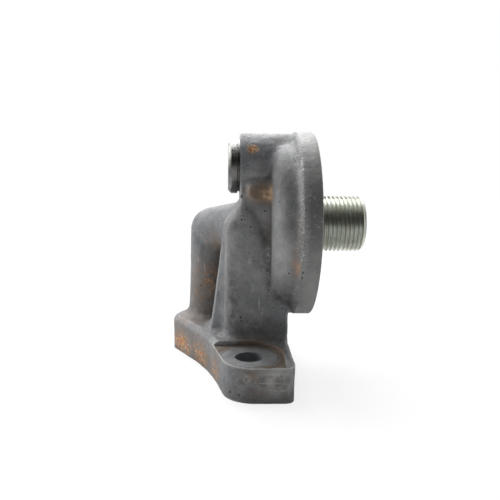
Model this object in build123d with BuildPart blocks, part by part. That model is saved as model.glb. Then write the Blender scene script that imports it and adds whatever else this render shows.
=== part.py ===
from build123d import *
import os

# Oil filter housing for an engine block: one grey iron casting that carries a spin-on filter on its
# threaded nipple and holds a spring loaded relief valve behind a screw plug. Millimetres.
# X runs along the filter's axis, out of the filter face. Z = 0 is the machined mounting face.

# Filter end
filter_axis_height = 51.7
flange_diameter = 65.0
flange_width = 6.8
flange_back_round = 1.5
seat_face_x = 22.0
seat_edge_chamfer = 0.5
drum_step = 3.1
drum_length = 7.7
drum_back_round = 6.0
drum_root_round = 2.0
boss_root_round = 2.0
annulus_wall = 7.0
annulus_inner_diameter = 28.0
annulus_depth = 9.0
annulus_floor_round = 1.6
hub_edge_round = 0.6
hub_recess = 1.5

# Filter nipple
nipple_thread_diameter = 20.0
nipple_protrusion = 19.5
nipple_engagement = 11.0
nipple_bore_diameter = 12.0
nipple_hex_across_flats = 12.0
nipple_hex_depth = 9.0
nipple_end_chamfer = 1.3
nipple_inner_chamfer = 0.8
nipple_relief_diameter = 18.2
nipple_relief_depth = 0.5
thread_clearance = 0.05

# Relief valve, above the filter's axis
valve_height_above_axis = 20.4
valve_boss_diameter = 22.8
valve_boss_face_x = -3.0
valve_boss_edge_round = 0.8
gate_stub_x = 4.4
gate_stub_below_valve = 8.8
gate_stub_width = 10.0
gate_stub_depth = 6.6
gate_stub_corner = 2.0
gate_stub_reach = 13.2
gate_stub_face_round = 1.6
plug_collar_diameter = 19.5
plug_collar_thickness = 3.3
plug_collar_chamfer = 1.1
plug_thread_diameter = 14.0
plug_thread_length = 6.0
plug_thread_runout = 0.5
plug_inner_chamfer = 0.8
plug_hex_across_flats = 6.0
plug_hex_depth = 3.4
plug_spring_bore_diameter = 9.2
plug_spring_bore_depth = 4.4
washer_diameter = 18.2
washer_thickness = 0.8
washer_bore_clearance = 0.2
plunger_diameter = 11.9
plunger_length = 5.0
plunger_running_clearance = 0.05
plunger_cup_diameter = 9.2
plunger_cup_depth = 3.5
plunger_face_chamfer = 0.6
valve_seat_wall = 1.5
valve_seat_hole_diameter = 8.6
spring_wire_diameter = 0.9
spring_outside_diameter = 8.5
spring_free_turns = 4.5
bypass_port_diameter = 4.4
bypass_port_margin = 0.1

# Mounting base
base_thickness = 13.0
base_edge_round = 1.6
bolt_hole_diameter = 9.0
bolt_pad_height = 11.5
front_bolt = (0.0, -28.9)
rear_bolt = (1.0, 35.0)
front_pad_cutter_diameter = 22.4
rear_pad_cutter_diameter = 18.0
base_right_x = 14.0
base_front_y = -38.7
base_rear_y = 44.5
base_left_x = -28.1
base_front_left_x = -6.5
base_waist = (-13.4, -9.8)
base_waist_round = 85.0
base_ear_y = (14.6, 19.5)
base_ear_round = 5.0
base_rear_left_x = -14.0
base_rear_right_x = 10.6
base_rear_shoulder_y = 24.0
base_rear_shoulder_round = 12.0
base_front_left_round = 10.0
base_front_right_round = 3.0
base_rear_right_round = 9.4

# Front column: the inlet passage from the block up to the annulus
column_left_x = -8.0
column_front_y = -14.0
column_back_y = 6.0
column_shoulder_above_axis = 0.8
column_front_round = 4.2
column_peak_x = -0.5
column_peak_above_shoulder = 11.5
column_ledge_below_axis = 5.7
column_corner_rounds = (6.0, 5.0, 3.0)
web_front_y = -5.6
web_foot_x = -13.7
web_top_x = -8.2
web_hollow = 0.4
web_overlap = 1.5
neck_front_y = -10.8
neck_corner_above_shoulder = 7.0
inlet_centre = (5.5, -4.5)
inlet_diameter = 11.0
inlet_branch_diameter = 10.0
inlet_branch_below_axis = 19.5

# Rear column: the outlet passage from the nipple back to the block
outlet_centre = (-13.0, 21.5)
outlet_diameter = 10.4
outlet_column_diameter = 17.2
outlet_column_root_diameter = 18.8
outlet_turn_below_axis = 4.7
outlet_root_round = 1.1
outlet_branch_end = (2.5, 0.0)
central_bore_diameter = 12.0

# Sizes worked out from those above
flange_radius = flange_diameter / 2
drum_diameter = flange_diameter - 2 * drum_step
annulus_outer_diameter = flange_diameter - 2 * annulus_wall
flange_back_x = seat_face_x - flange_width
drum_back_x = flange_back_x - drum_length
annulus_floor_x = seat_face_x - annulus_depth
hub_face_x = seat_face_x - hub_recess
nipple_inner_x = hub_face_x - nipple_engagement
nipple_end_x = seat_face_x + nipple_protrusion
valve_axis_height = filter_axis_height + valve_height_above_axis
gate_stub_height = valve_axis_height - gate_stub_below_valve
valve_seat_x = annulus_floor_x - valve_seat_wall
washer_outer_x = valve_boss_face_x - washer_thickness
plug_inner_x = valve_boss_face_x + plug_thread_length
plunger_bore_radius = plunger_diameter / 2 + plunger_running_clearance
bypass_port_x = nipple_inner_x - bypass_port_diameter / 2 - bypass_port_margin
annulus_outer_height = filter_axis_height + annulus_outer_diameter / 2
annulus_inner_height = filter_axis_height + annulus_inner_diameter / 2
column_shoulder_height = filter_axis_height + column_shoulder_above_axis
column_peak = (column_peak_x, column_shoulder_height + column_peak_above_shoulder)
column_ledge_height = filter_axis_height - column_ledge_below_axis
neck_corner_height = column_shoulder_height + neck_corner_above_shoulder
inlet_branch_height = filter_axis_height - inlet_branch_below_axis
outlet_turn_height = filter_axis_height - outlet_turn_below_axis
past_face = 2.0
root_depth = base_thickness / 2

filter_axis = Axis((0, 0, filter_axis_height), (1, 0, 0))

os.makedirs("parts", exist_ok=True)


def across_x(x, height):
    """A plane square to X, with its own centre at the given height over the base."""
    return Plane(origin=(x, 0, height), x_dir=(0, 1, 0), z_dir=(1, 0, 0))


# Drum and flange that the filter screws against, turned about the filter's axis
with BuildPart() as drum:
    with BuildSketch(Plane.XZ):
        with BuildLine():
            FilletPolyline(
                (drum_back_x, filter_axis_height),
                (drum_back_x, filter_axis_height + drum_diameter / 2),
                (flange_back_x, filter_axis_height + drum_diameter / 2),
                (flange_back_x, filter_axis_height + flange_radius),
                (seat_face_x, filter_axis_height + flange_radius),
                radius=[drum_back_round, drum_root_round, flange_back_round],
            )
            Line((seat_face_x, filter_axis_height + flange_radius), (seat_face_x, filter_axis_height))
            Line((seat_face_x, filter_axis_height), (drum_back_x, filter_axis_height))
        make_face()
    revolve(axis=filter_axis)
    chamfer(drum.edges().sort_by(Axis.X)[-1], length=seat_edge_chamfer)

# Horizontal boss for the relief valve, run out to the flange, with the gate's stub left under it
with BuildPart() as valve_boss:
    with BuildSketch(across_x(valve_boss_face_x, valve_axis_height)):
        Circle(valve_boss_diameter / 2)
    extrude(amount=flange_back_x - valve_boss_face_x)
    fillet(valve_boss.edges().sort_by(Axis.X)[0], radius=valve_boss_edge_round)

with BuildPart() as gate_stub:
    with BuildSketch(Plane.XZ.offset(gate_stub_reach)):
        with Locations((gate_stub_x, gate_stub_height)):
            RectangleRounded(gate_stub_width, gate_stub_depth, gate_stub_corner)
    extrude(amount=-gate_stub_reach)
    fillet(gate_stub.faces().sort_by(Axis.Y)[0].edges(), radius=gate_stub_face_round)

# Front column: a rounded bulge over the inlet passage, with an arched top, on a web that spreads
# to the left towards the base and reaches up to the valve boss
with BuildPart() as inlet_bulge:
    with BuildSketch(Plane.XZ.offset(-column_back_y)):
        with BuildLine():
            FilletPolyline(
                (column_left_x, root_depth),
                (column_left_x, column_shoulder_height),
                column_peak,
                (drum_back_x, column_ledge_height),
                (base_right_x, column_ledge_height),
                (base_right_x, root_depth),
                close=True,
                radius=[0, *column_corner_rounds, 0, 0],
            )
        make_face()
    extrude(amount=column_back_y - column_front_y)
    front_edges = inlet_bulge.faces().sort_by(Axis.Y)[0].edges()
    left_and_top = front_edges.sort_by(Axis.Z)[1:].sort_by(Axis.X)[:-1]
    fillet(left_and_top, radius=column_front_round)

with BuildPart() as front_column:
    start_x = column_left_x + web_overlap
    start_y = column_front_y + web_overlap + column_front_round / 2
    for height, left_x in ((root_depth, web_foot_x), (column_shoulder_height, web_top_x)):
        with BuildSketch(Plane.XY.offset(height)):
            with BuildLine():
                hollow = ThreePointArc(
                    (start_x, start_y),
                    (
                        start_x + web_hollow * (left_x - start_x),
                        web_front_y + web_hollow * (start_y - web_front_y),
                    ),
                    (left_x, web_front_y),
                )
                Polyline(
                    hollow @ 1,
                    (left_x, column_back_y),
                    (start_x, column_back_y),
                    hollow @ 0,
                )
            make_face()
    loft(ruled=True)
    with BuildSketch(Plane.XZ.offset(-column_back_y)):
        with BuildLine():
            Polyline(
                (web_top_x, column_shoulder_height),
                (valve_boss_face_x, neck_corner_height),
                (valve_boss_face_x, valve_axis_height),
                (flange_back_x, valve_axis_height),
                (flange_back_x, column_ledge_height),
                (start_x, column_ledge_height),
                (start_x, column_shoulder_height),
                close=True,
            )
        make_face()
    extrude(amount=column_back_y - neck_front_y)
    add(inlet_bulge.part)

# Rear column over the outlet passage, tapered for its pattern, with a ball elbow at its top and a
# branch that runs across to the nipple's bore
outlet_axis = Axis((outlet_centre[0], outlet_centre[1], 0), (0, 0, 1))
with BuildPart() as outlet_column:
    with BuildSketch(Plane(origin=(*outlet_centre, 0), x_dir=(1, 0, 0), z_dir=(0, -1, 0))):
        with BuildLine():
            foot = Line((0, root_depth), (outlet_column_root_diameter / 2, root_depth))
            side = Line(foot @ 1, (outlet_column_diameter / 2, outlet_turn_height))
            crown = (0, outlet_turn_height + outlet_column_diameter / 2)
            elbow = RadiusArc(side @ 1, crown, -outlet_column_diameter / 2)
            Line(elbow @ 1, foot @ 0)
        make_face()
    revolve(axis=outlet_axis)

branch_start = Vector(*outlet_centre, outlet_turn_height)
branch_end = Vector(*outlet_branch_end, filter_axis_height)
branch_line = branch_end - branch_start
with BuildPart() as outlet_branch:
    with BuildSketch(Plane(origin=branch_start, z_dir=branch_line)):
        Circle(outlet_column_diameter / 2)
    extrude(amount=branch_line.length)

# Round hub where that branch turns into the drum
with BuildPart() as elbow_hub:
    with BuildSketch(across_x(outlet_branch_end[0], filter_axis_height)):
        Circle(outlet_column_diameter / 2)
    extrude(amount=flange_back_x - outlet_branch_end[0])
    with Locations(branch_end):
        Sphere(outlet_column_diameter / 2)

# Drum with the boss that runs into its back, and the round between them
with BuildPart() as filter_head:
    add(drum.part)
    add(valve_boss.part)
    fillet(filter_head.edges(Select.NEW).filter_by(GeomType.CIRCLE), radius=boss_root_round)

# The casting
with BuildPart() as housing:
    with BuildSketch(Plane.XY):
        with BuildLine():
            FilletPolyline(
                (base_right_x, base_front_y),
                (base_right_x, base_rear_shoulder_y),
                (base_rear_right_x, base_rear_y),
                (base_rear_left_x, base_rear_y),
                (base_left_x, base_ear_y[1]),
                (base_left_x, base_ear_y[0]),
                base_waist,
                (base_front_left_x, base_front_y),
                close=True,
                radius=[
                    base_front_right_round,
                    base_rear_shoulder_round,
                    base_rear_right_round,
                    base_rear_shoulder_round,
                    base_ear_round,
                    base_ear_round,
                    base_waist_round,
                    base_front_left_round,
                ],
            )
        make_face()
    extrude(amount=base_thickness)
    fillet(housing.faces().sort_by(Axis.Z)[-1].edges(), radius=base_edge_round)
    add(outlet_column.part)
    fillet(housing.edges(Select.NEW), radius=outlet_root_round)
    add(front_column.part)
    add(outlet_branch.part)
    add(elbow_hub.part)
    add(filter_head.part)
    add(gate_stub.part)

    # Annulus that takes the dirty oil to the filter, and the lowered face of the hub inside it
    with BuildSketch(Plane.XZ):
        with BuildLine():
            FilletPolyline(
                (seat_face_x + past_face, filter_axis_height),
                (hub_face_x, filter_axis_height),
                (hub_face_x, annulus_inner_height),
                (annulus_floor_x, annulus_inner_height),
                (annulus_floor_x, annulus_outer_height),
                (seat_face_x + past_face, annulus_outer_height),
                close=True,
                radius=[0, 0, hub_edge_round, annulus_floor_round, annulus_floor_round, 0],
            )
        make_face()
    revolve(axis=filter_axis, mode=Mode.SUBTRACT)

    # Tapped hole for the nipple, and the clean oil's way from it to the port under the rear column
    with BuildSketch(across_x(nipple_inner_x, filter_axis_height)):
        Circle(nipple_thread_diameter / 2 + thread_clearance)
    extrude(amount=seat_face_x - nipple_inner_x, mode=Mode.SUBTRACT)
    with BuildSketch(across_x(outlet_branch_end[0], filter_axis_height)):
        Circle(central_bore_diameter / 2)
    extrude(amount=nipple_inner_x - outlet_branch_end[0], mode=Mode.SUBTRACT)
    with Locations(branch_end):
        Sphere(central_bore_diameter / 2, mode=Mode.SUBTRACT)
    with BuildSketch(Plane(origin=branch_start, z_dir=branch_line)):
        Circle(outlet_diameter / 2)
    extrude(amount=branch_line.length, mode=Mode.SUBTRACT)
    with Locations(branch_start):
        Sphere(outlet_diameter / 2, mode=Mode.SUBTRACT)
    with BuildSketch(Plane.XY):
        with Locations(outlet_centre):
            Circle(outlet_diameter / 2)
    extrude(amount=outlet_turn_height, mode=Mode.SUBTRACT)

    # Oil's way in, from the block up the front column and into the annulus
    with BuildSketch(Plane.XY):
        with Locations(inlet_centre):
            Circle(inlet_diameter / 2)
    extrude(amount=inlet_branch_height, mode=Mode.SUBTRACT)
    with Locations((*inlet_centre, inlet_branch_height)):
        Sphere(inlet_diameter / 2, mode=Mode.SUBTRACT)
    with BuildSketch(across_x(inlet_centre[0], inlet_branch_height)):
        with Locations((inlet_centre[1], 0)):
            Circle(inlet_branch_diameter / 2)
    extrude(amount=annulus_floor_x + annulus_floor_round - inlet_centre[0], mode=Mode.SUBTRACT)

    # Relief valve: tapped mouth, plunger bore, seat hole, and the port that it opens
    with BuildSketch(across_x(valve_boss_face_x, valve_axis_height)):
        Circle(plug_thread_diameter / 2 + thread_clearance)
    extrude(amount=plug_thread_length + plug_thread_runout, mode=Mode.SUBTRACT)
    with BuildSketch(across_x(valve_boss_face_x, valve_axis_height)):
        Circle(plunger_bore_radius)
    extrude(amount=valve_seat_x - valve_boss_face_x, mode=Mode.SUBTRACT)
    with BuildSketch(across_x(valve_boss_face_x, valve_axis_height)):
        Circle(valve_seat_hole_diameter / 2)
    extrude(amount=annulus_floor_x - valve_boss_face_x, mode=Mode.SUBTRACT)
    with BuildSketch(Plane.XY.offset(filter_axis_height)):
        with Locations((bypass_port_x, 0)):
            Circle(bypass_port_diameter / 2)
    extrude(amount=valve_height_above_axis, mode=Mode.SUBTRACT)

    # Milled seat for the front bolt's head, swept out to the front and left and leaving the raw
    # skin on the right, and a round spot face for the rear bolt
    front_pad_radius = front_pad_cutter_diameter / 2
    with BuildSketch(Plane.XY.offset(bolt_pad_height)):
        with BuildLine():
            back = Line(
                (base_left_x, front_bolt[1] + front_pad_radius),
                (front_bolt[0], front_bolt[1] + front_pad_radius),
            )
            pad_right_x = front_bolt[0] + front_pad_radius
            turn = RadiusArc(back @ 1, (pad_right_x, front_bolt[1]), front_pad_radius)
            Polyline(
                turn @ 1,
                (pad_right_x, base_front_y - past_face),
                (base_left_x, base_front_y - past_face),
                back @ 0,
            )
        make_face()
        with Locations(rear_bolt):
            Circle(rear_pad_cutter_diameter / 2)
    extrude(amount=base_thickness, mode=Mode.SUBTRACT)
    with BuildSketch(Plane.XY):
        with Locations(front_bolt, rear_bolt):
            Circle(bolt_hole_diameter / 2)
    extrude(amount=base_thickness, mode=Mode.SUBTRACT)

housing.part.label = "housing"
export_step(housing.part, "parts/housing.step")

# Nipple that the filter screws on to: screwed into the hub against its shoulder, bored right
# through, with a hexagon for the key in its outer end and a relief groove between its two threads
nipple_radius = nipple_thread_diameter / 2
with BuildPart() as filter_nipple:
    with BuildSketch(across_x(nipple_inner_x, filter_axis_height)):
        Circle(nipple_radius)
    extrude(amount=nipple_end_x - nipple_inner_x)
    chamfer(filter_nipple.edges().sort_by(Axis.X)[-1], length=nipple_end_chamfer)
    chamfer(filter_nipple.edges().sort_by(Axis.X)[0], length=nipple_inner_chamfer)
    with BuildSketch(across_x(nipple_inner_x, filter_axis_height)):
        Circle(nipple_bore_diameter / 2)
    extrude(amount=nipple_end_x - nipple_inner_x, mode=Mode.SUBTRACT)
    with BuildSketch(across_x(nipple_end_x - nipple_hex_depth, filter_axis_height)):
        RegularPolygon(nipple_hex_across_flats / 2, 6, major_radius=False)
    extrude(amount=nipple_hex_depth, mode=Mode.SUBTRACT)
    with BuildSketch(across_x(hub_face_x - nipple_relief_depth, filter_axis_height)):
        Circle(nipple_radius + thread_clearance)
        Circle(nipple_relief_diameter / 2, mode=Mode.SUBTRACT)
    extrude(amount=hub_recess + nipple_relief_depth, mode=Mode.SUBTRACT)

filter_nipple.part.label = "filter_nipple"
export_step(filter_nipple.part, "parts/filter_nipple.step")

# Screw plug with a round collar, a socket for the key outside and a pocket for the spring inside
with BuildPart() as valve_plug:
    collar_face_x = washer_outer_x - plug_collar_thickness
    with BuildSketch(across_x(collar_face_x, valve_axis_height)):
        Circle(plug_collar_diameter / 2)
    extrude(amount=plug_collar_thickness)
    chamfer(valve_plug.edges().sort_by(Axis.X)[0], length=plug_collar_chamfer)
    with BuildSketch(across_x(washer_outer_x, valve_axis_height)):
        Circle(plug_thread_diameter / 2)
    extrude(amount=plug_inner_x - washer_outer_x)
    chamfer(valve_plug.edges().sort_by(Axis.X)[-1], length=plug_inner_chamfer)
    with BuildSketch(across_x(plug_inner_x - plug_spring_bore_depth, valve_axis_height)):
        Circle(plug_spring_bore_diameter / 2)
    extrude(amount=plug_spring_bore_depth, mode=Mode.SUBTRACT)
    with BuildSketch(across_x(collar_face_x, valve_axis_height)):
        RegularPolygon(plug_hex_across_flats / 2, 6, major_radius=False)
    extrude(amount=plug_hex_depth, mode=Mode.SUBTRACT)

valve_plug.part.label = "valve_plug"
export_step(valve_plug.part, "parts/valve_plug.step")

# Flat sealing washer between the plug's collar and the boss
with BuildPart() as valve_plug_washer:
    with BuildSketch(across_x(washer_outer_x, valve_axis_height)):
        Circle(washer_diameter / 2)
        Circle(plug_thread_diameter / 2 + washer_bore_clearance, mode=Mode.SUBTRACT)
    extrude(amount=washer_thickness)

valve_plug_washer.part.label = "valve_plug_washer"
export_step(valve_plug_washer.part, "parts/valve_plug_washer.step")

# Cup shaped plunger, shut against the seat, open towards the plug for the spring
with BuildPart() as relief_valve_plunger:
    plunger_back_x = valve_seat_x - plunger_length
    with BuildSketch(across_x(plunger_back_x, valve_axis_height)):
        Circle(plunger_diameter / 2)
    extrude(amount=plunger_length)
    chamfer(relief_valve_plunger.edges().sort_by(Axis.X)[-1], length=plunger_face_chamfer)
    with BuildSketch(across_x(plunger_back_x, valve_axis_height)):
        Circle(plunger_cup_diameter / 2)
    extrude(amount=plunger_cup_depth, mode=Mode.SUBTRACT)

relief_valve_plunger.part.label = "relief_valve_plunger"
export_step(relief_valve_plunger.part, "parts/relief_valve_plunger.step")

# Coil spring between the pocket in the plug and the floor of the cup
spring_start_x = plug_inner_x - plug_spring_bore_depth + spring_wire_diameter / 2
spring_end_x = plunger_back_x + plunger_cup_depth - spring_wire_diameter / 2
spring_length = spring_end_x - spring_start_x
with BuildPart() as relief_valve_spring:
    with BuildLine():
        coil = Helix(
            pitch=spring_length / spring_free_turns,
            height=spring_length,
            radius=(spring_outside_diameter - spring_wire_diameter) / 2,
            center=(spring_start_x, 0, valve_axis_height),
            direction=(1, 0, 0),
        )
    with BuildSketch(Plane(origin=coil @ 0, z_dir=coil % 0)):
        Circle(spring_wire_diameter / 2)
    sweep(is_frenet=True)

relief_valve_spring.part.label = "relief_valve_spring"
export_step(relief_valve_spring.part, "parts/relief_valve_spring.step")

print("relief valve travel", plunger_back_x - plug_inner_x)
print("casting volume", housing.part.volume, "valid", housing.part.is_valid)
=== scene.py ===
from math import cos, pi, radians, sin, tan

import bpy
import numpy as np
from mathutils import Matrix, Vector


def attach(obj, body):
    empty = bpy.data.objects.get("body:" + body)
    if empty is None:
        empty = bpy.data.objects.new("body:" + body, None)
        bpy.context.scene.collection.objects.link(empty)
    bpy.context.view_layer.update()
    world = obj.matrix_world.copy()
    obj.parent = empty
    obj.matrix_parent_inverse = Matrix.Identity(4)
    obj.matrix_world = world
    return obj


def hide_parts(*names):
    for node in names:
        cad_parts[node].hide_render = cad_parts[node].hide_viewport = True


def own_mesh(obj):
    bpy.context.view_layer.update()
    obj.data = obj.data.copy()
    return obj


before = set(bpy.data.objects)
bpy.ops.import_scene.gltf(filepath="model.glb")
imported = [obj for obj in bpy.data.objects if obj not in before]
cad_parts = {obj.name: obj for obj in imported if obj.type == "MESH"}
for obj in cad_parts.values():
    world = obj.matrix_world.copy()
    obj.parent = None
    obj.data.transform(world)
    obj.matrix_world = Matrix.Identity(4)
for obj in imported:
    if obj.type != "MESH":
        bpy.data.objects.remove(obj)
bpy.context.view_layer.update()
bpy.ops.object.select_all(action="DESELECT")
scene = bpy.context.scene
scene.view_settings.view_transform = "Standard"

# View: a short lens close to the housing, a little above it, turned slightly towards the filter
# side. Every size below is in millimetres and MM turns it into metres.
MM = 0.001
camera_data = bpy.data.cameras.new("camera")
camera_data.sensor_width = 36.0
camera_data.lens = 39.0
camera_data.clip_start = 10 * MM
camera = bpy.data.objects.new("camera", camera_data)
scene.collection.objects.link(camera)
camera_place = Vector((-7.7, -195.1, 71.4)) * MM
camera_pitch_down, camera_yaw_right, camera_roll = radians(8.63), radians(2.59), radians(0.87)
camera.matrix_world = (
    Matrix.Translation(camera_place)
    @ Matrix.Rotation(-camera_yaw_right, 4, "Z")
    @ Matrix.Rotation(pi / 2 - camera_pitch_down, 4, "X")
    @ Matrix.Rotation(camera_roll, 4, "Z")
)
scene.camera = camera


def hex_colour(code):
    """An sRGB hex code as the linear colour that a shader takes."""
    channels = [int(code[i:i + 2], 16) / 255 for i in (0, 2, 4)]
    linear = [c / 12.92 if c <= 0.04045 else ((c + 0.055) / 1.055) ** 2.4 for c in channels]
    return (*linear, 1.0)


def add_node(tree, kind, inputs=None, **settings):
    """Adds a node with its settings, and gives each named input a value or a link."""
    node = tree.nodes.new(kind)
    for name, value in settings.items():
        setattr(node, name, value)
    for key, value in (inputs or {}).items():
        if isinstance(value, bpy.types.NodeSocket):
            tree.links.new(value, node.inputs[key])
        else:
            node.inputs[key].default_value = value
    return node


# Studio: a white table that fades into a white backdrop, a large soft light behind and above the
# housing, a smaller one on its left, and a dim room behind the camera that bright metal mirrors as
# a dark band.
white = (1, 1, 1, 1)
world = bpy.data.worlds.new("studio")
scene.world = world
world.use_nodes = True
sky = world.node_tree
sky.nodes.clear()
sky_path = add_node(sky, "ShaderNodeLightPath")
sky_direction = add_node(sky, "ShaderNodeTexCoord")
sky_split = add_node(sky, "ShaderNodeSeparateXYZ", {0: sky_direction.outputs["Generated"]})
room_side, seen_side = (
    add_node(
        sky, "ShaderNodeMapRange",
        {0: sky_split.outputs["Y"], "From Min": start, "From Max": end,
         "To Min": dim, "To Max": lit},
        interpolation_type="SMOOTHSTEP",
    ).outputs[0]
    for start, end, dim, lit in ((-0.65, 0.65, 0.24, 0.65), (-0.55, -0.12, 0.07, 1.0))
)
room = add_node(sky, "ShaderNodeBackground", {"Color": hex_colour("F4F6F8"), "Strength": room_side})
mirrored = add_node(sky, "ShaderNodeBackground", {"Color": white, "Strength": seen_side})
white_back = add_node(sky, "ShaderNodeBackground", {"Color": white, "Strength": 1.0})
mirror_ray = add_node(
    sky, "ShaderNodeMath",
    {0: sky_path.outputs["Is Glossy Ray"], 1: sky_path.outputs["Is Transmission Ray"]},
    operation="MAXIMUM",
)
sky_mirror = add_node(
    sky, "ShaderNodeMixShader",
    {0: mirror_ray.outputs[0], 1: room.outputs[0], 2: mirrored.outputs[0]},
)
sky_mix = add_node(
    sky, "ShaderNodeMixShader",
    {0: sky_path.outputs["Is Camera Ray"], 1: sky_mirror.outputs[0], 2: white_back.outputs[0]},
)
add_node(sky, "ShaderNodeOutputWorld", {0: sky_mix.outputs[0]})

bpy.ops.mesh.primitive_circle_add(
    vertices=96, radius=1200 * MM, fill_type="NGON", location=(0, 0, 0),
)
table = bpy.context.object
table.name = "table"
table_finish = bpy.data.materials.new("white_table")
table_finish.use_nodes = True
tree = table_finish.node_tree
tree.nodes.clear()
place = add_node(tree, "ShaderNodeTexCoord")
far = add_node(tree, "ShaderNodeVectorMath", {0: place.outputs["Object"]}, operation="LENGTH")
fade = add_node(
    tree, "ShaderNodeMapRange",
    {0: far.outputs["Value"], "From Min": 120 * MM, "From Max": 260 * MM},
    interpolation_type="SMOOTHSTEP",
)
path = add_node(tree, "ShaderNodeLightPath")
paper = add_node(tree, "ShaderNodeBsdfDiffuse", {"Color": (0.86, 0.86, 0.86, 1)})
lift_share = add_node(
    tree, "ShaderNodeMath", {0: path.outputs["Is Camera Ray"], 1: 0.77}, operation="MULTIPLY",
)
glow = add_node(tree, "ShaderNodeEmission", {"Color": white, "Strength": 1.06})
near_look = add_node(
    tree, "ShaderNodeMixShader",
    {0: lift_share.outputs[0], 1: paper.outputs[0], 2: glow.outputs[0]},
)
lit_sweep = add_node(tree, "ShaderNodeEmission", {"Color": white, "Strength": 0.7})
far_look = add_node(
    tree, "ShaderNodeMixShader",
    {0: path.outputs["Is Camera Ray"], 1: lit_sweep.outputs[0], 2: glow.outputs[0]},
)
table_look = add_node(
    tree, "ShaderNodeMixShader",
    {0: fade.outputs[0], 1: near_look.outputs[0], 2: far_look.outputs[0]},
)
add_node(tree, "ShaderNodeOutputMaterial", {0: table_look.outputs[0]})
table.data.materials.append(table_finish)

for name, spot, size, watts in (
    ("top_softbox", (-60, 270, 440), 420, 3.7),
    ("left_softbox", (-430, 150, 200), 260, 0.9),
):
    lamp_data = bpy.data.lights.new(name, "AREA")
    lamp_data.size = size * MM
    lamp_data.energy = watts
    lamp = bpy.data.objects.new(name, lamp_data)
    scene.collection.objects.link(lamp)
    lamp.location = Vector(spot) * MM
    aim = Vector((0, 0, 45)) * MM - lamp.location
    lamp.rotation_euler = aim.to_track_quat("-Z", "Y").to_euler()

# Housing: one sand casting in grey iron, its skin soft edged and finely grained, milled on the
# foot, the filter seat and the boss's end. The raw skin is grown from the solid with blended
# corners, and the milled faces and the drilled passages are then cut into it crisply.
FILTER_AXIS = 51.7
VALVE_AXIS = 72.1
SEAT_X = 22.0
HUB_X = 20.5
BOSS_FACE_X = -3.0
VALVE_SEAT_X = 11.5
FLANGE_RADIUS = 32.5
RIM_BACK_X = 15.7
BASE_TOP = 13.0
PAD_HEIGHT = 11.5
FRONT_BOLT = (0, -28.9)
REAR_BOLT = (1, 35)
bolt_hole_radius = 4.5
pad_radius = 11.2
rear_pad_radius = 9.0
annulus_floor_x, annulus_inner_radius, annulus_outer_radius = 13.0, 14.0, 25.5
outlet_x, outlet_y, outlet_turn_z, outlet_radius = -13.0, 21.5, 47.0, 5.2
hub_turn_x, hub_passage_radius, nipple_hole_radius = 2.5, 6.0, 10.05
inlet_x, inlet_y, inlet_turn_z, inlet_radius, ring_feed_radius = 5.5, -4.5, 32.2, 5.5, 5.0
plug_hole_radius, cup_bore_radius, seat_hole_radius = 7.05, 6.0, 4.3
relief_port_x, relief_port_radius = 7.2, 2.2
tool_overrun = 4
skin_step = 0.5
blend_radius = 0.5
root_radius = 2.2


def make_active(piece):
    """Selects one object alone and makes it the active one."""
    bpy.ops.object.select_all(action="DESELECT")
    piece.select_set(True)
    bpy.context.view_layer.objects.active = piece


def add_outline(name, points, sides=(), faces=()):
    """A new object of points in millimetres, joined by sides or by faces."""
    mesh = bpy.data.meshes.new(name)
    mesh.from_pydata([Vector(point) * MM for point in points], sides, faces)
    piece = bpy.data.objects.new(name, mesh)
    scene.collection.objects.link(piece)
    make_active(piece)
    return piece


def add_rod(start, end, radius, sides=64):
    """A closed round bar between two points in millimetres."""
    start, end = Vector(start) * MM, Vector(end) * MM
    run = end - start
    bpy.ops.mesh.primitive_cylinder_add(
        vertices=sides, radius=radius * MM, depth=run.length, location=(start + end) / 2,
        rotation=run.to_track_quat("Z", "Y").to_euler(),
    )
    rod = bpy.context.object
    bpy.ops.object.transform_apply(location=True, rotation=True, scale=True)
    return rod


def add_ball(place, radius, subdivisions):
    """A closed faceted ball in millimetres."""
    bpy.ops.mesh.primitive_ico_sphere_add(
        subdivisions=subdivisions, radius=radius * MM, location=Vector(place) * MM,
    )
    ball = bpy.context.object
    bpy.ops.object.transform_apply(location=True)
    return ball


def rounded_outline(corners, steps=10):
    """The points of a closed outline whose corners (x, y, round) are turned by arcs."""
    points = []
    befores, afters = corners[-1:] + corners[:-1], corners[1:] + corners[:1]
    for before, corner, after in zip(befores, corners, afters):
        here, radius = Vector(corner[:2]), corner[2]
        back = (Vector(before[:2]) - here).normalized()
        onward = (Vector(after[:2]) - here).normalized()
        half = back.angle(onward) / 2
        centre = here + (back + onward).normalized() * radius / sin(half)
        first, last = (here + way * radius / tan(half) - centre for way in (back, onward))
        if radius:
            spokes = (first.lerp(last, i / steps).normalized() for i in range(steps + 1))
            points += [centre + spoke * radius for spoke in spokes]
        else:
            points.append(here)
    return points


def add_prism(outline, low, high):
    """A closed upright block of an outline in millimetres, between two heights."""
    prism = add_outline(
        "prism", [(x, y, low) for x, y in outline], faces=[range(len(outline))],
    )
    bpy.ops.object.mode_set(mode="EDIT")
    bpy.ops.mesh.select_all(action="SELECT")
    rise = (0, 0, (high - low) * MM)
    bpy.ops.mesh.extrude_region_move(TRANSFORM_OT_translate={"value": rise})
    bpy.ops.mesh.select_all(action="SELECT")
    bpy.ops.mesh.normals_make_consistent(inside=False)
    bpy.ops.object.mode_set(mode="OBJECT")
    return prism


def join(pieces, name):
    """Joins objects into the first of them."""
    bpy.ops.object.select_all(action="DESELECT")
    for piece in pieces:
        piece.select_set(True)
    bpy.context.view_layer.objects.active = pieces[0]
    bpy.ops.object.join()
    pieces[0].name = name
    return pieces[0]


def apply_modifier(piece, kind, **settings):
    """Adds one modifier with its settings and applies it at once."""
    make_active(piece)
    modifier = piece.modifiers.new(kind.lower(), kind)
    for name, value in settings.items():
        setattr(modifier, name, value)
    bpy.ops.object.modifier_apply(modifier=modifier.name)


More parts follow.
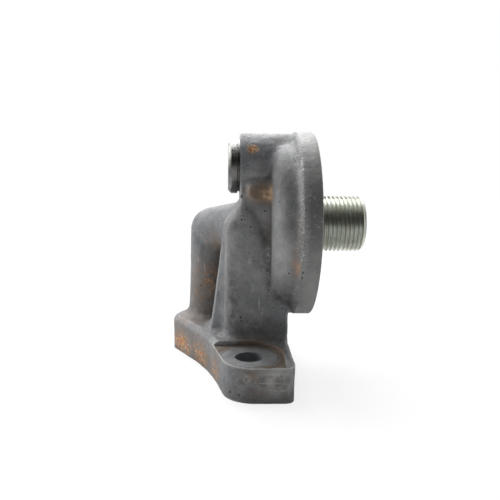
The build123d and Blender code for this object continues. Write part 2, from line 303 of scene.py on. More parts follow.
def grow(piece, way):
    """Moves the skin out (1) or in (-1) by the blend's radius, larger at the columns' roots."""
    mesh = piece.data
    places, normals = np.empty(len(mesh.vertices) * 3), np.empty(len(mesh.vertices) * 3)
    mesh.vertices.foreach_get("co", places)
    mesh.vertices.foreach_get("normal", normals)
    near_root = np.clip(1.2 - np.abs(places[2::3] / MM - BASE_TOP - 1) / 5, 0, 1)
    radius = blend_radius + (root_radius - blend_radius) * near_root
    mesh.vertices.foreach_set("co", places + way * MM * np.repeat(radius, 3) * normals)
    mesh.update()


def cut(piece, tool):
    """Cuts a closed tool out of a closed piece, and deletes the tool."""
    apply_modifier(piece, "BOOLEAN", operation="DIFFERENCE", object=tool, solver="MANIFOLD")
    bpy.data.objects.remove(tool)


def turn(name, outline, axis_height, closed=True, steps=128):
    """Spins an outline of (x, radius) points in millimetres about a level axis along X."""
    sides = [(i, i + 1) for i in range(len(outline) - 1)]
    if closed:
        sides.append((len(outline) - 1, 0))
    piece = add_outline(name, [(x, 0, axis_height + radius) for x, radius in outline], sides)
    bpy.ops.object.mode_set(mode="EDIT")
    bpy.ops.mesh.select_all(action="SELECT")
    bpy.ops.mesh.spin(
        steps=steps, angle=2 * pi, center=(0, 0, axis_height * MM), axis=(1, 0, 0),
    )
    bpy.ops.mesh.select_all(action="SELECT")
    bpy.ops.mesh.remove_doubles(threshold=0.002 * MM)
    bpy.ops.mesh.normals_make_consistent(inside=False)
    bpy.ops.object.mode_set(mode="OBJECT")
    return piece


# The solid's mesh, run a little past the foot so that the skin can be trimmed there
casting = bpy.data.objects.new("cast_housing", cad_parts["housing"].data.copy())
scene.collection.objects.link(casting)
make_active(casting)
bpy.ops.object.mode_set(mode="EDIT")
bpy.ops.mesh.select_all(action="SELECT")
bpy.ops.mesh.remove_doubles(threshold=0.001 * MM)
bpy.ops.mesh.select_all(action="DESELECT")
bpy.ops.object.mode_set(mode="OBJECT")
for face in casting.data.polygons:
    face.select = face.normal.z < -0.999 and face.center.z < 0.01 * MM
bpy.ops.object.mode_set(mode="EDIT")
bpy.ops.mesh.extrude_region_move(TRANSFORM_OT_translate={"value": (0, 0, -3 * MM)})
bpy.ops.object.mode_set(mode="OBJECT")

# What is drilled or milled later is filled first: passages, bolt holes, annulus, seat and pads
passages = [
    ((outlet_x, outlet_y, -tool_overrun), (outlet_x, outlet_y, outlet_turn_z + 1.5), outlet_radius),
    ((outlet_x, outlet_y, outlet_turn_z), (hub_turn_x, 0, FILTER_AXIS), outlet_radius),
    ((hub_turn_x - 3, 0, FILTER_AXIS), (10, 0, FILTER_AXIS), hub_passage_radius),
    ((9.5, 0, FILTER_AXIS), (SEAT_X + tool_overrun, 0, FILTER_AXIS), nipple_hole_radius),
    ((inlet_x, inlet_y, -tool_overrun), (inlet_x, inlet_y, inlet_turn_z + 3), inlet_radius),
    ((inlet_x, inlet_y, inlet_turn_z), (14.5, inlet_y, inlet_turn_z), ring_feed_radius),
    ((BOSS_FACE_X - tool_overrun, 0, VALVE_AXIS), (3.5, 0, VALVE_AXIS), plug_hole_radius),
    ((0, 0, VALVE_AXIS), (VALVE_SEAT_X, 0, VALVE_AXIS), cup_bore_radius),
    ((10, 0, VALVE_AXIS), (14, 0, VALVE_AXIS), seat_hole_radius),
    ((relief_port_x, 0, FILTER_AXIS), (relief_port_x, 0, VALVE_AXIS), relief_port_radius),
    ((*FRONT_BOLT, -tool_overrun), (*FRONT_BOLT, 16), bolt_hole_radius),
    ((*REAR_BOLT, -tool_overrun), (*REAR_BOLT, 16), bolt_hole_radius),
]
fillings = [add_rod(start, end, radius + 0.4, 32) for start, end, radius in passages]
for start, end, radius, sides in (
    ((12, 0, FILTER_AXIS), (SEAT_X + 3, 0, FILTER_AXIS), annulus_outer_radius + 1, 64),
    ((16.6, 0, FILTER_AXIS), (SEAT_X + 3, 0, FILTER_AXIS), FLANGE_RADIUS + 0.4, 192),
    ((BOSS_FACE_X - 2, 0, VALVE_AXIS), (BOSS_FACE_X + 2, 0, VALVE_AXIS), 11.4, 96),
    ((*REAR_BOLT, 8), (*REAR_BOLT, BASE_TOP), rear_pad_radius + 0.2, 48),
):
    fillings.append(add_rod(start, end, radius, sides))
foot_back_y = -16.5
foot_corners = [
    (14, foot_back_y, 0), (14, -38.7, 3), (-6.5, -38.7, 10), (-11.8, foot_back_y, 0),
]
foot = add_prism(rounded_outline(foot_corners), 2, BASE_TOP)
bpy.ops.object.mode_set(mode="EDIT")
bpy.ops.mesh.select_all(action="DESELECT")
bpy.ops.object.mode_set(mode="OBJECT")
for edge in foot.data.edges:
    ends = [foot.data.vertices[i].co / MM for i in edge.vertices]
    on_top = all(end.z > BASE_TOP - 0.01 for end in ends)
    edge.select = on_top and not all(end.y > foot_back_y - 0.1 for end in ends)
bpy.ops.object.mode_set(mode="EDIT")
bpy.ops.mesh.select_mode(type="EDGE")
bpy.ops.mesh.bevel(offset=1.4 * MM, segments=4)
bpy.ops.object.mode_set(mode="OBJECT")
fillings.append(foot)

# The neck's shallow recess, and the gate's stub, which was knocked off and left a rough lump
fillings.append(add_prism([(-3, -6), (9, -6), (9, -12.3), (-3, -12.3)], 42, 61))
for place, radius in (
    ((6.8, -11.5, 62.9), 3.8), ((3.2, -11.0, 62.2), 2.7), ((-0.2, -10.6, 62.0), 1.8),
    ((8.6, -11.8, 61.4), 2.6), ((6.2, -10.9, 65.2), 2.4),
):
    fillings.append(add_ball(place, radius, 1))
join([casting, *fillings], "cast_housing")

# Hollow corners are filled by swelling the skin and shrinking it again, and the sand leaves its
# unevenness in two sizes
apply_modifier(casting, "REMESH", mode="VOXEL", voxel_size=skin_step * MM)
for way in (1, -1):
    grow(casting, way)
    apply_modifier(casting, "REMESH", mode="VOXEL", voxel_size=skin_step * MM)
    apply_modifier(casting, "SMOOTH", factor=0.5, iterations=2)
for lump_size, lump_height in ((7.0, 0.30), (1.6, 0.12)):
    sand = bpy.data.textures.new("sand", "CLOUDS")
    sand.noise_scale = lump_size * MM
    apply_modifier(
        casting, "DISPLACE", texture=sand, texture_coords="LOCAL", strength=lump_height * MM,
    )

bpy.ops.object.mode_set(mode="EDIT")
bpy.ops.mesh.select_all(action="SELECT")
bpy.ops.mesh.bisect(plane_co=(0, 0, 0), plane_no=(0, 0, 1), use_fill=True, clear_inner=True)
bpy.ops.mesh.select_all(action="SELECT")
bpy.ops.mesh.bisect(
    plane_co=(SEAT_X * MM, 0, 0), plane_no=(1, 0, 0), use_fill=True, clear_outer=True,
)
bpy.ops.object.mode_set(mode="OBJECT")
for start, end, radius in passages:
    cut(casting, add_rod(start, end, radius))
boss_face = (BOSS_FACE_X, 0, VALVE_AXIS)
cut(casting, add_rod((BOSS_FACE_X - tool_overrun, 0, VALVE_AXIS), boss_face, 13.5, 96))
cut(casting, turn("annulus_tool", [
    (SEAT_X + 2, annulus_inner_radius), (annulus_floor_x + 0.4, annulus_inner_radius),
    (annulus_floor_x, annulus_inner_radius + 0.6), (annulus_floor_x, annulus_outer_radius - 0.5),
    (annulus_floor_x + 0.5, annulus_outer_radius), (SEAT_X - 0.4, annulus_outer_radius),
    (SEAT_X + 2, annulus_outer_radius + 2.4),
], FILTER_AXIS))
cut(casting, turn("rim_tool", [
    (RIM_BACK_X, FLANGE_RADIUS), (SEAT_X - 0.2, FLANGE_RADIUS), (SEAT_X + 1, FLANGE_RADIUS - 1.2),
    (SEAT_X + 2, 60), (RIM_BACK_X, 60),
], FILTER_AXIS, steps=192))
cut(casting, turn("hub_face_tool", [
    (HUB_X, 5), (HUB_X, 15), (SEAT_X + 2, 15), (SEAT_X + 2, 5),
], FILTER_AXIS))
pad_back_y = FRONT_BOLT[1] + pad_radius
cut(casting, add_prism(rounded_outline([
    (-40, pad_back_y, 0), (pad_radius, pad_back_y, pad_radius), (pad_radius, -50, 0), (-40, -50, 0),
]), PAD_HEIGHT, 21))
cut(casting, add_rod((*REAR_BOLT, PAD_HEIGHT), (*REAR_BOLT, 18), rear_pad_radius, 96))

# Blow holes in the skin
for place, radius in (
    ((14.2, -37.2, 6.0), 0.75), ((-6.2, -35.5, 2.5), 0.55), ((-3.4, -37.8, 2.4), 0.6),
    ((-2.6, -11.2, 61.9), 0.7), ((9.5, -38.9, 9.0), 0.4), ((2.0, -14.2, 40.0), 0.35),
    ((8.6, -38.9, 4.6), 0.35), ((-14.5, 11.8, 30.0), 0.4),
):
    cut(casting, add_ball(place, radius, 2))


def mark_edges(piece, rounds=3, gain=5.0):
    """Stores how the skin bends at each point: up to 1 on a convex edge, down to -1 in a hollow
    corner.
    """
    mesh = piece.data
    count = len(mesh.vertices)
    places = np.empty(count * 3)
    mesh.vertices.foreach_get("co", places)
    places = places.reshape(-1, 3)
    normals = np.empty(count * 3)
    mesh.vertices.foreach_get("normal", normals)
    normals = normals.reshape(-1, 3)
    ends = np.empty(len(mesh.edges) * 2, dtype=np.int32)
    mesh.edges.foreach_get("vertices", ends)
    first, second = ends.reshape(-1, 2).T
    run = places[second] - places[first]
    length = np.maximum(np.linalg.norm(run, axis=1), 1e-9)
    near = np.bincount(first, minlength=count) + np.bincount(second, minlength=count)
    bend = np.bincount(first, -(normals[first] * run).sum(1) / length, count)
    bend += np.bincount(second, (normals[second] * run).sum(1) / length, count)
    bend /= np.maximum(near, 1)
    for _ in range(rounds):
        spread = np.bincount(first, bend[second], count) + np.bincount(second, bend[first], count)
        bend = 0.4 * bend + 0.6 * spread / np.maximum(near, 1)
    layer = mesh.attributes.new("edge_bend", "FLOAT", "POINT")
    layer.data.foreach_set("value", np.clip(bend * gain, -1, 1))


def mark_machining(piece, flats, bores):
    """Stores on each face whether it is milled flat, a drilled hole's wall or the turned rim."""
    mesh = piece.data
    centres, normals = np.empty(len(mesh.polygons) * 3), np.empty(len(mesh.polygons) * 3)
    mesh.polygons.foreach_get("center", centres)
    mesh.polygons.foreach_get("normal", normals)
    centres, normals = centres.reshape(-1, 3) / MM, normals.reshape(-1, 3)
    milled = np.zeros(len(centres), dtype=bool)
    for point, way, reach in flats:
        offset = centres - np.array(point)
        level = (np.abs(offset @ way) < 0.05) & (normals @ way > 0.99)
        milled |= level & (np.linalg.norm(offset, axis=1) < reach)
    bored = np.zeros(len(centres), dtype=bool)
    for start, end, radius in bores:
        start, run = np.array(start), np.array(end) - np.array(start)
        share = (centres - start) @ run / (run @ run)
        away = np.linalg.norm(centres - start - share[:, None] * run, axis=1)
        is_wall = np.abs(normals @ run) < 0.3 * np.linalg.norm(run)
        bored |= (away < radius + 0.1) & (share > -0.01) & (share < 1.01) & is_wall
    rim_gap = np.linalg.norm(centres[:, 1:] - (0, FILTER_AXIS), axis=1) - FLANGE_RADIUS
    rim = (np.abs(rim_gap) < 0.05) & (centres[:, 0] > RIM_BACK_X + 0.1)
    for name, marks in (("milled", milled), ("bored", bored & ~milled), ("turned", rim)):
        layer = mesh.attributes.new(name, "FLOAT", "FACE")
        layer.data.foreach_set("value", marks.astype(np.float32))


def shade(piece, degrees):
    """Shades a piece smooth, with sharp edges where its faces meet at more than an angle."""
    make_active(piece)
    bpy.ops.object.shade_smooth_by_angle(angle=radians(degrees))


mark_edges(casting)
mark_machining(casting, (
    ((0, 0, 0), (0, 0, -1), 60), ((SEAT_X, 0, FILTER_AXIS), (1, 0, 0), 33),
    ((HUB_X, 0, FILTER_AXIS), (1, 0, 0), 15), (boss_face, (-1, 0, 0), 12),
    ((*FRONT_BOLT, PAD_HEIGHT), (0, 0, 1), 18), ((*REAR_BOLT, PAD_HEIGHT), (0, 0, 1), 9.5),
), passages)
shade(casting, 35)
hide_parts("housing")
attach(casting, "housing_body")


def start_finish(name):
    """A new material without nodes: itself, its tree, its coordinates, and places in mm."""
    material = bpy.data.materials.new(name)
    material.use_nodes = True
    tree = material.node_tree
    tree.nodes.clear()
    object_place = add_node(tree, "ShaderNodeTexCoord")
    place_mm = add_node(
        tree, "ShaderNodeVectorMath", {0: object_place.outputs["Object"], "Scale": 1 / MM},
        operation="SCALE",
    ).outputs["Vector"]
    return material, tree, object_place, place_mm


def end_finish(material, surface):
    """Ends a material in one shader with the given inputs."""
    shader = add_node(material.node_tree, "ShaderNodeBsdfPrincipled", surface)
    add_node(material.node_tree, "ShaderNodeOutputMaterial", {0: shader.outputs[0]})


def dress(piece, material):
    """Puts one material on a piece."""
    piece.data.materials.clear()
    piece.data.materials.append(material)


# Grey iron as cast: a dull blue grey graphite skin, speckled by the sand, lighter on convex edges
# where scuffed and by a painted highlight, darker in hollow corners by painted shade, brown in the
# corners and where water stood, orange where it has rusted through. Where it is milled it is a
# lighter bare grey with fine tool marks, and the drilled holes are dark with oil.
iron, tree, object_place, place_mm = start_finish("sand_cast_grey_iron")
bend_mask, milled, bored, turned = (
    add_node(tree, "ShaderNodeAttribute", attribute_name=name).outputs["Fac"]
    for name in ("edge_bend", "milled", "bored", "turned")
)
along, _, height = add_node(tree, "ShaderNodeSeparateXYZ", {0: place_mm}).outputs


def grains(size_mm, low, high, weak=0.0, strong=1.0, detail=3.0, roughness=0.55):
    """Soft grains about size_mm across: weak where the noise is low, strong where it is high."""
    lumps = add_node(
        tree, "ShaderNodeTexNoise",
        {"Vector": place_mm, "Scale": 1 / size_mm, "Detail": detail, "Roughness": roughness},
    )
    return add_node(
        tree, "ShaderNodeMapRange",
        {0: lumps.outputs["Fac"], "From Min": low, "From Max": high,
         "To Min": weak, "To Max": strong},
    ).outputs[0]


def overlap(*masks):
    """Where all of several masks are strong. A mask is a link, a number, or a link with the values
    between which it grows from 0 to 1."""
    share = None
    for mask in masks:
        if isinstance(mask, tuple):
            value, low, high = mask
            mask = add_node(
                tree, "ShaderNodeMapRange", {0: value, "From Min": low, "From Max": high},
            ).outputs[0]
        if share is None:
            share = mask
        else:
            share = add_node(
                tree, "ShaderNodeMath", {0: share, 1: mask}, operation="MULTIPLY",
            ).outputs[0]
    return share


def coat(under, over, *masks):
    """Lays one tone over another where the masks overlap. A tone is a hex code or a link."""
    under, over = (hex_colour(tone) if isinstance(tone, str) else tone for tone in (under, over))
    return add_node(
        tree, "ShaderNodeMix", {0: overlap(*masks), 6: under, 7: over},
        data_type="RGBA", clamp_factor=True,
    ).outputs[2]


def patches(texture, marks):
    """Patches, for stains and for painted light and shade, each broken up by a texture: full near a
    point in millimetres, fading out at a reach along X, Y and Z, and of a given strength."""
    share = None
    for centre, reach, strength in marks:
        offset = add_node(
            tree, "ShaderNodeVectorMath", {0: place_mm, 1: centre}, operation="SUBTRACT",
        )
        part = add_node(
            tree, "ShaderNodeVectorMath", {0: offset.outputs[0], 1: reach}, operation="DIVIDE",
        )
        gap = add_node(tree, "ShaderNodeVectorMath", {0: part.outputs[0]}, operation="LENGTH")
        near = add_node(
            tree, "ShaderNodeMapRange",
            {0: gap.outputs["Value"], "From Min": 1.0, "From Max": 0.35, "To Max": strength},
        )
        stain = overlap(near.outputs[0], texture)
        if share is None:
            share = stain
        else:
            share = add_node(
                tree, "ShaderNodeMath", {0: share, 1: stain}, operation="MAXIMUM",
            ).outputs[0]
    return share


def off_from(value, middle):
    """How far a value is from a number, on either side."""
    offset = add_node(tree, "ShaderNodeMath", {0: value, 1: middle}, operation="SUBTRACT")
    return add_node(
        tree, "ShaderNodeMath", {0: offset.outputs[0]}, operation="ABSOLUTE",
    ).outputs[0]


def away_from(centre, flat):
    """How far the surface is from a line through a point, seen along the line."""
    offset = add_node(
        tree, "ShaderNodeVectorMath", {0: place_mm, 1: centre}, operation="SUBTRACT",
    )
    across = add_node(
        tree, "ShaderNodeVectorMath", {0: offset.outputs[0], 1: flat}, operation="MULTIPLY",
    )
    return add_node(
        tree, "ShaderNodeVectorMath", {0: across.outputs[0]}, operation="LENGTH",
    ).outputs["Value"]


# Skin: cloudy greys in three sizes, then the sand's speckle, drawn coarser than it is so that it
# shows, then convex edges lighter, scuffed and painted highlight, and hollow corners darker,
# painted shade
speck_size = 0.55
skin = coat("6A6B6D", "808182", grains(11.0, 0.36, 0.64, detail=4.0))
skin = coat(skin, "5E5E60", grains(3.6, 0.42, 0.60, strong=0.55, roughness=0.6))
skin = coat(skin, "949494", grains(1.8, 0.52, 0.66, strong=0.35, detail=4.0, roughness=0.6))
skin = coat(skin, "A3A3A2", grains(speck_size, 0.58, 0.70, 0.0, 0.35, 2.0, 0.6))
skin = coat(skin, "3A3A3B", grains(speck_size, 0.40, 0.30, 0.0, 0.50, 2.0, 0.6))
# Convex edges lighter: partly scuffing, partly a painted highlight
skin = coat(skin, "A8A8A7", (bend_mask, 0.10, 0.6), 0.65)
# Hollow corners darker: painted shade
skin = coat(skin, "403F3E", (bend_mask, -0.1, -0.4), 0.7)

# Rough seams: pitted and sparkling along the flange's back edge and in the valley by the drum
seam = patches(grains(0.8, 0.46, 0.56, detail=4.0, roughness=0.75), [
    ((15.8, -22, 74.8), (2.2, 16, 12), 1.0), ((15.8, -31, 51.7), (2.0, 4, 24), 0.9),
    ((15.5, -24, 30), (2, 12, 9), 0.6), ((7.0, -15.5, 38), (3.2, 5, 16), 0.9),
    ((9.0, -19, 27), (5, 6, 5), 0.9), ((-9.5, -11.5, 13), (3, 3, 2.5), 1.0),
    ((11, -38.5, 7), (5, 3, 7), 0.6),
])
skin = coat(skin, "D4D3CF", seam, grains(0.5, 0.51, 0.60, roughness=0.8))
skin = coat(skin, "2C2A28", seam, grains(0.5, 0.47, 0.39, roughness=0.8))

# Stains and painted light: brown in corners, painted light patches, sooty blotches and painted
# shade, painted shade on the drum, scratches, the gate's stub with a painted highlight, rust
brown = patches(grains(2.0, 0.36, 0.56, detail=5.0, roughness=0.7), [
    ((4.0, -12.5, 63.2), (8.0, 5.0, 4.6), 1.0), ((-25, 10, 5), (9, 16, 9), 1.0),
    ((-16, -4, 4), (9, 16, 9), 0.95), ((-19.5, 11, 13.5), (13, 13, 3), 0.6),
    ((-17, 14, 24), (9, 10, 16), 0.8), ((-10, 9, 36), (7, 8, 18), 0.85),
    ((0.5, -39, 8.6), (3.4, 4, 3), 0.8), ((5, -39, 5), (12, 4, 8), 0.35),
    ((-11, -22, 6), (4, 10, 8), 0.6), ((1.5, -39, 8.5), (7, 4, 4), 0.45),
    ((14.5, -28, 41), (2.5, 4, 9), 0.6), ((15.2, -30, 52), (1.6, 3, 9), 0.4),
    ((6.8, -12, 50), (3, 4, 8), 0.4), ((2, -16.5, 13.5), (14, 3, 2), 0.4),
])
skin = coat(skin, "7E6A57", brown)
# Painted light: lighter patches that lift the drum's middle, the column's front and left, the
# foot's front, and the shaded spots under the boss and in the neck
painted_light = patches(grains(5.0, 0.28, 0.60, detail=4.0, roughness=0.6), [
    ((10.5, -27, 46), (5.4, 16, 22), 0.6), ((1, -14, 44), (16, 5, 30), 0.35),
    ((9, -38.7, 7), (8, 6, 8), 0.75), ((-4, -14, 46), (4, 5, 24), 0.6),
    ((1.5, -11, 67.5), (7, 5, 3.5), 0.6), ((4, -12.5, 53), (5, 4, 7), 0.6),
])
skin = coat(skin, "A6A5A3", painted_light)
# Sooty blotches on the foot's front; elsewhere painted shade: at the column's root, in the web's
# hollow, in the valley and under the drum, behind the drum on the boss and on the rear column
soot_and_painted_shade = patches(grains(2.8, 0.40, 0.58, detail=5.0, roughness=0.7), [
    ((-2, -38, 3), (13, 6, 5), 0.4), ((3, -14.5, 17), (12, 4, 5), 0.5),
    ((-10, 8, 26), (6, 8, 24), 0.8), ((9.8, -8.5, 81), (3.4, 5, 2.4), 0.8),
    ((5, -38.7, 7), (8, 3, 3), 0.6), ((-5.5, -12, 26), (3.2, 8, 16), 0.8),
    ((11, -20, 27.5), (6, 9, 5), 1.0), ((6.4, -14.5, 44), (2.4, 3, 15), 0.5),
    ((6.9, -15, 38), (1.3, 5, 17), 1.0), ((-2, -38, 8), (4, 4, 5), 0.6),
])
skin = coat(skin, "4A4846", soot_and_painted_shade)
# Painted shade: a soft darkening over the drum's upper part
painted_drum_shade = patches(grains(5.0, 0.25, 0.50), [
    ((9.0, -22, 70), (5.5, 13, 13), 0.75),
])
skin = coat(skin, "505051", painted_drum_shade)
scratches = patches(grains(0.7, 0.40, 0.52, roughness=0.7), [
    ((3.9, -14, 24.8), (0.35, 1.5, 3.4), 0.7), ((5.0, -14, 22.3), (0.3, 1.5, 2.6), 0.6),
    ((1.6, -14, 31), (0.3, 1.5, 2), 0.6), ((2.4, -14, 30.2), (0.9, 1.5, 0.3), 0.5),
    ((0.5, -14, 40), (0.9, 1.5, 1.6), 0.45), ((-16, 13, 33), (0.3, 2, 3), 0.5),
    ((8, -38.7, 9.4), (5, 2, 0.5), 0.45), ((6, -38.7, 6.6), (6, 2, 0.4), 0.4),
    ((-1, -38.3, 8), (1.8, 2, 2), 0.4), ((9, -38.7, 4.2), (4, 2, 0.4), 0.4),
    ((-18.5, 14, 36), (0.3, 2, 2), 0.4), ((7, -24, 60), (0.3, 2, 2), 0.6),
    ((10, -29.4, 66), (1.6, 3, 0.4), 0.6),
])
skin = coat(skin, "BDBDBB", scratches)
lump = patches(grains(1.5, 0.32, 0.48, detail=4.0, roughness=0.7), [
    ((4.8, -14, 63.0), (7.4, 6, 5.2), 1.0),
])
skin = coat(skin, "725F4D", lump)
# Tan on the lump's right side: partly its own colour, partly a painted highlight
tan_and_painted_highlight = patches(grains(1.3, 0.38, 0.55, detail=4.0, roughness=0.7), [
    ((7.0, -15, 62.6), (4.2, 5, 3.4), 0.9),
])
skin = coat(skin, "A98B6A", tan_and_painted_highlight)
rust_spot = patches(grains(0.9, 0.40, 0.50, detail=4.0, roughness=0.7), [
    ((1.2, -9.8, 77.7), (2.5, 4.0, 1.9), 1.0),
])
skin = coat(skin, coat("A8622E", "E0B075", grains(0.8, 0.44, 0.56)), rust_spot)
orange = patches(grains(1.7, 0.46, 0.58, detail=5.0, roughness=0.75), [
    ((-24, 8, 4.0), (6.5, 11, 5), 1.0), ((-16, -5, 4), (6, 9, 4.5), 0.9),
    ((-10.8, -19, 3), (3, 8, 5), 0.75), ((14.6, -28, 40.8), (2, 3, 3.2), 0.6),
    ((-13, 12.8, 27), (4, 3, 8), 0.35), ((-14.5, 13.2, 44), (1.5, 2, 2.6), 0.5),
])
skin = coat(skin, coat("A8622E", "D9A76C", grains(0.9, 0.42, 0.58)), orange)

# Pinholes about 2.4 mm apart, in patches
pinholes = add_node(
    tree, "ShaderNodeTexVoronoi", {"Vector": place_mm, "Scale": 0.42}, feature="F1",
)
pinhole_size = grains(5.0, 0.44, 0.62, -0.02, 0.13)
pinhole_gap = add_node(
    tree, "ShaderNodeMath", {0: pinholes.outputs["Distance"], 1: pinhole_size},
    operation="SUBTRACT",
).outputs[0]
skin = coat(skin, "2E2D2D", (pinhole_gap, 0.03, 0.0))

# Turned rim: smoother, darker across the middle by a painted dark reflection, lighter low down by
# painted bounce light, and fading into the raw skin at its back
turned_skin = coat("6A6968", "7A7977", grains(5.0, 0.40, 0.62, detail=4.0, roughness=0.6))
# Painted dark reflection across the rim's middle, painted bounce light on its lower part
turned_skin = coat(turned_skin, "4E4D4C", patches(1.0, [((19.5, -28, 56), (6, 12, 14), 0.6)]))
turned_skin = coat(turned_skin, "9C9B99", patches(1.0, [((19.5, -24, 31), (6, 14, 11), 0.6)]))
ragged_x = add_node(
    tree, "ShaderNodeMath", {0: along, 1: grains(2.0, 0.0, 1.0, detail=4.0, roughness=0.7)},
    operation="ADD",
).outputs[0]
turned = overlap(turned, (ragged_x, 16.6, 18.6))
skin = coat(skin, turned_skin, turned, grains(1.1, 0.66, 0.60, 0.0, 0.85, 4.0, 0.7))
# Painted highlight: a small near-white spot at the top of the rim
painted_glint = patches(grains(1.0, 0.47, 0.60, detail=5.0, roughness=0.75), [
    ((17.0, -14.5, 80.6), (2.0, 6, 1.8), 0.5),
])
skin = coat(skin, "D2D3D2", painted_glint)

# Milled iron: rings from the cutter, drawn several times coarser than they are so that they show.
# Round the front bolt's pad they are stained brown outside the washer's print.
bolt_gap = away_from((*FRONT_BOLT, 0), (1, 1, 0))
axis_gap = away_from((0, 0, FILTER_AXIS), (0, 1, 1))
facing = add_node(tree, "ShaderNodeSeparateXYZ", {0: object_place.outputs["Normal"]}).outputs["X"]
ring_gap = add_node(
    tree, "ShaderNodeMix", {0: off_from(facing, 0.0), 2: bolt_gap, 3: axis_gap},
).outputs[0]
ring_pitch = 0.7
ring_turn = add_node(
    tree, "ShaderNodeMath", {0: ring_gap, 1: 2 * pi / ring_pitch}, operation="MULTIPLY",
)
rings = add_node(tree, "ShaderNodeMath", {0: ring_turn.outputs[0]}, operation="SINE").outputs[0]
washer_radius = 9.3
bare = coat("828385", "98999A", grains(2.5, 0.38, 0.62, detail=4.0))
bare = coat(bare, "A9AAAB", (rings, 0.2, 1.0), 0.25)
on_pad = overlap((bolt_gap, 18, 17), (height, PAD_HEIGHT - 2, PAD_HEIGHT - 1))
pad_edge = overlap((bolt_gap, 9.2, 9.9), grains(1.3, 0.40, 0.55, 0.25, 1.0, 5.0, 0.7), on_pad)
bare = coat(bare, "7A6A55", pad_edge, 0.75)
bare = coat(bare, "4A4037", (off_from(bolt_gap, washer_radius), 0.28, 0.10), on_pad, 0.6)
pad_lip = overlap(
    (off_from(height, PAD_HEIGHT - 0.15), 0.5, 0.2), on_pad,
    grains(0.9, 0.36, 0.50, 0.0, 0.75, 4.0, 0.7),
)
skin = coat(skin, "BDBBB6", pad_lip)
pad_wall = overlap(
    (off_from(bolt_gap, pad_radius), 0.9, 0.4), (off_from(height, PAD_HEIGHT + 0.9), 1.3, 0.9),
)
finish = coat(skin, bare, milled)
finish = coat(finish, "6B4F38", pad_wall, 0.55)
finish = coat(finish, "74777B", bored)

# Relief and gloss: sand grain on the skin, faint rings and a smoother face where it is machined
smooth_rim = overlap(turned, 0.25)
smooth = add_node(
    tree, "ShaderNodeMath", {0: milled, 1: smooth_rim}, operation="MAXIMUM",
).outputs[0]
grain_height = add_node(
    tree, "ShaderNodeMath",
    {0: grains(0.6, 0.0, 1.0, roughness=0.6), 1: grains(2.2, 0.0, 1.0, strong=1.6)},
    operation="ADD",
).outputs[0]
rough_share, metallic = (
    add_node(
        tree, "ShaderNodeMapRange", {0: smooth, "To Min": raw, "To Max": machined},
    ).outputs[0]
    for raw, machined in ((1.0, 0.15), (0.25, 0.50))
)
relief = add_node(
    tree, "ShaderNodeMath",
    {0: overlap(rings, milled), 1: 0.02, 2: overlap(grain_height, rough_share)},
    operation="MULTIPLY_ADD",
)
grain = add_node(
    tree, "ShaderNodeBump", {"Height": relief.outputs[0], "Strength": 0.6, "Distance": 0.28 * MM},
)
dullness = add_node(
    tree, "ShaderNodeMath", {0: smooth, 1: -0.18, 2: grains(3.0, 0.3, 0.7, 0.52, 0.64)},
    operation="MULTIPLY_ADD",
)
end_finish(iron, {
    "Base Color": finish, "Metallic": metallic, "Roughness": dullness.outputs[0],
    "Normal": grain.outputs["Normal"],
})
dress(casting, iron)

# Nipple: steel bar, turned, threaded M20 x 1.5 and zinc plated with a faint green passivation. It
# is screwed into the hub against its shoulder. The thread is cut with a coiled V tool.
nipple_start_x, nipple_end_x = 9.5, 41.5
nipple_radius, nipple_bore_radius = 10.0, 6.0
neck_x = 20.0
thread_pitch = 1.5
thread_root_radius = 9.1
thread_start_x = 21.2
thread_turns = 15
tool_radius = 10.1
tool_half_width, root_half_width = 0.68, 0.11
nipple_hexagon = 12.0
nipple = turn("threaded_nipple", [
    (nipple_start_x, nipple_bore_radius), (nipple_start_x, nipple_radius - 0.8),
    (nipple_start_x + 0.8, nipple_radius), (neck_x, nipple_radius), (neck_x, thread_root_radius),
    (SEAT_X, thread_root_radius), (SEAT_X, nipple_radius - 0.2), (SEAT_X + 0.2, nipple_radius),
    (nipple_end_x - 1.3, nipple_radius), (nipple_end_x, nipple_radius - 1.3),
    (nipple_end_x, nipple_bore_radius),
], FILTER_AXIS)
thread_tool = add_outline("thread_tool", [
    (-tool_half_width, 0, tool_radius), (tool_half_width, 0, tool_radius),
    (root_half_width, 0, thread_root_radius), (-root_half_width, 0, thread_root_radius),
], [(0, 1), (1, 2), (2, 3), (3, 0)])
apply_modifier(
    thread_tool, "SCREW", axis="X", angle=2 * pi, screw_offset=thread_pitch * MM,
    iterations=thread_turns, steps=96, render_steps=96, use_merge_vertices=False,
)


def close_coil(coil, end_sides, shift):
    """Closes a coil's two ends, turns its faces outwards, and moves its mesh in millimetres."""
    make_active(coil)
    bpy.ops.object.mode_set(mode="EDIT")
    bpy.ops.mesh.select_all(action="SELECT")
    bpy.ops.mesh.fill_holes(sides=end_sides)
    bpy.ops.mesh.select_all(action="SELECT")
    bpy.ops.mesh.normals_make_consistent(inside=False)
    bpy.ops.transform.translate(value=[part * MM for part in shift])
    bpy.ops.object.mode_set(mode="OBJECT")


def add_key_hole(start_x, end_x, axis_height, across_flats):
    """A six sided bar, as wide over its flats as the key."""
    key_radius = across_flats / 2 / cos(pi / 6)
    return add_rod((start_x, 0, axis_height), (end_x, 0, axis_height), key_radius, 6)


close_coil(thread_tool, 4, (thread_start_x, 0, FILTER_AXIS))
cut(nipple, thread_tool)
cut(nipple, add_key_hole(32.5, 45, FILTER_AXIS, nipple_hexagon))
shade(nipple, 25)
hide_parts("filter_nipple")
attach(nipple, "housing_body")

# Zinc plate: a bright, slightly greenish metal, half glossy, faintly cloudy
zinc, tree, _, place_mm = start_finish("zinc_plated_steel")
end_finish(zinc, {
    "Base Color": coat("BFC2BA", "B2B4A7", grains(4.0, 0.35, 0.65)), "Metallic": 1.0,
    "Roughness": grains(1.2, 0.3, 0.7, 0.27, 0.38),
})
dress(nipple, zinc)

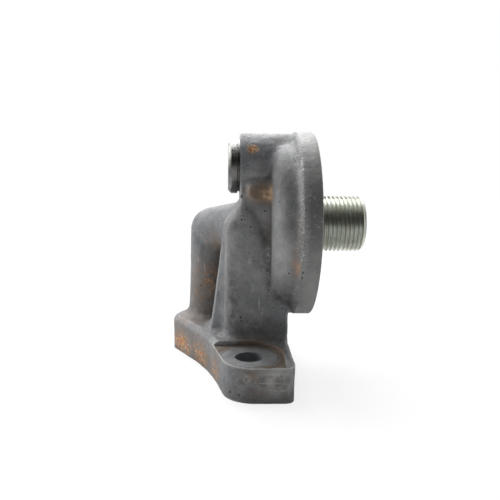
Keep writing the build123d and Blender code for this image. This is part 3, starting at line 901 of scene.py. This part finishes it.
# Plug: turned steel, blackened by oil, with a round collar and a hexagon socket. It closes the
# relief valve's bore and carries the spring.
COLLAR_FACE_X = -7.1
WASHER_X = -3.8
SPRING_SEAT_X = -1.4
plug_end_x = 2.95
collar_radius = 9.75
plug_hexagon = 6.0
plug = turn("screw_plug", [
    (COLLAR_FACE_X, 0), (COLLAR_FACE_X, 8.65), (-6.0, collar_radius), (WASHER_X, collar_radius),
    (WASHER_X, 7), (2.2, 7), (plug_end_x, 6.2), (plug_end_x, 4.6), (SPRING_SEAT_X, 4.6),
    (SPRING_SEAT_X, 0),
], VALVE_AXIS, closed=False, steps=96)
apply_modifier(
    plug, "BEVEL", width=0.25 * MM, segments=3, limit_method="ANGLE", angle_limit=radians(30),
)
cut(plug, add_key_hole(-12, -3.7, VALVE_AXIS, plug_hexagon))
shade(plug, 35)
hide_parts("valve_plug")
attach(plug, "housing_body")

# Washer: a flat ring of soft metal, pressed between the collar and the boss's milled end
washer = turn("plug_washer", [
    (WASHER_X, 7.2), (WASHER_X, 9.1), (BOSS_FACE_X, 9.1), (BOSS_FACE_X, 7.2),
], VALVE_AXIS, steps=96)
apply_modifier(
    washer, "BEVEL", width=0.15 * MM, segments=2, limit_method="ANGLE", angle_limit=radians(30),
)
shade(washer, 35)
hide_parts("valve_plug_washer")
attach(washer, "housing_body")

# Oiled steel: a dark grey metal, half glossy, with a painted highlight and duller on top of the
# collar
steel, tree, _, place_mm = start_finish("oiled_turned_steel")
oil_film = coat("706F6D", "5F5E5C", grains(2.2, 0.42, 0.62, roughness=0.6))
# Painted highlight: a pale patch on top of the collar, where the roughness also rises
painted_top_highlight = patches(grains(0.8, 0.38, 0.52, detail=5.0, roughness=0.75), [
    ((-5.3, -6, 81), (4, 14, 7.5), 1.0),
])
collar_roughness = add_node(
    tree, "ShaderNodeMath", {0: painted_top_highlight, 1: 0.18, 2: grains(0.9, 0.3, 0.7, 0.26, 0.38, 4.0)},
    operation="MULTIPLY_ADD",
)
end_finish(steel, {
    "Base Color": coat(oil_film, "C2C2BF", painted_top_highlight), "Metallic": 1.0, "Roughness": collar_roughness.outputs[0],
})
dress(plug, steel)
dress(washer, steel)

# Relief valve inside the boss: a ground steel cup that slides, and the coil spring that holds it
# shut. The spring is squeezed against the plug when the cup moves back.
cup_radius, cup_hollow_radius = 5.95, 4.6
plunger = turn("valve_cup", [
    (10, 0), (10, cup_hollow_radius), (6.5, cup_hollow_radius), (6.5, cup_radius),
    (VALVE_SEAT_X - 0.6, cup_radius), (VALVE_SEAT_X, cup_radius - 0.6), (VALVE_SEAT_X, 0),
], VALVE_AXIS, closed=False, steps=96)
shade(plunger, 35)
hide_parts("relief_valve_plunger")
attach(plunger, "plunger_body")

spring_length = 11.4
spring_wire = 0.9
spring_radius = 3.8
spring_turns = 4.5
wire_sides = 14
bpy.ops.mesh.primitive_circle_add(
    vertices=wire_sides, radius=spring_wire / 2 * MM, rotation=(pi / 2, 0, 0),
)
spring = bpy.context.object
spring.name = "valve_spring"
bpy.ops.object.transform_apply(location=True, rotation=True, scale=True)
bpy.ops.object.mode_set(mode="EDIT")
bpy.ops.mesh.select_all(action="SELECT")
bpy.ops.transform.translate(value=(0, 0, spring_radius * MM))
bpy.ops.object.mode_set(mode="OBJECT")
apply_modifier(
    spring, "SCREW", axis="X", angle=2 * pi * spring_turns,
    screw_offset=(spring_length - spring_wire) * MM, iterations=1, steps=220, render_steps=220,
)
close_coil(spring, wire_sides, (SPRING_SEAT_X + spring_wire / 2, 0, VALVE_AXIS))
shade(spring, 50)
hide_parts("relief_valve_spring")
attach(spring, "housing_body")
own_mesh(spring)
dress(plunger, steel)
dress(spring, steel)
